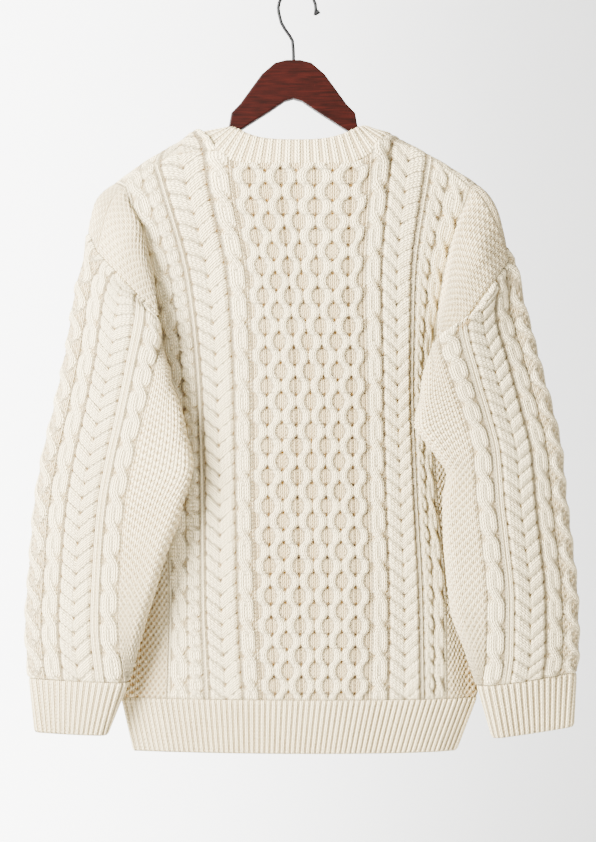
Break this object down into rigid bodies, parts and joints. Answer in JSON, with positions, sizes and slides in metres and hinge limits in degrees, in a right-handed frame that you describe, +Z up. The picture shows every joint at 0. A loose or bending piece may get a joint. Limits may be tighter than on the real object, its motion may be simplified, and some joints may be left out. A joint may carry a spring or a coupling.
{
  "type": "cardigan on a hanger",
  "caption": "Cream cable-knit wool cardigan on a wooden hanger with a wire hook; honeycomb and rope cables on the back, long sleeves, ribbed hem, cuffs and neckband.",
  "frame": {"origin": "inside top of the hook's crook, where it hangs", "axes": "+Z up, +X to the viewer's right of the back, +Y out of the front; the back faces -Y"},
  "size_m": [0.5746, 0.0922, 0.8004],
  "materials": {
    "cream_wool": "matte",
    "brown_buttons": "satin",
    "stained_wood": "satin",
    "black_wire": "gloss"
  },
  "bodies": {
    "root": {"back": "cream_wool", "front_left": "cream_wool", "front_right": "cream_wool", "sleeve_left": "cream_wool", "sleeve_right": "cream_wool", "hem_back": "cream_wool", "hem_front_left": "cream_wool", "hem_front_right": "cream_wool", "cuff_left": "cream_wool", "cuff_right": "cream_wool", "neckband": "cream_wool", "button_band": "cream_wool", "buttonhole_band": "cream_wool", "button_1": "brown_buttons", "button_2": "brown_buttons", "button_3": "brown_buttons", "button_4": "brown_buttons", "button_5": "brown_buttons", "button_6": "brown_buttons", "hanger_wood": "stained_wood", "hanger_hook": "black_wire"}
  },
  "joints": []
}
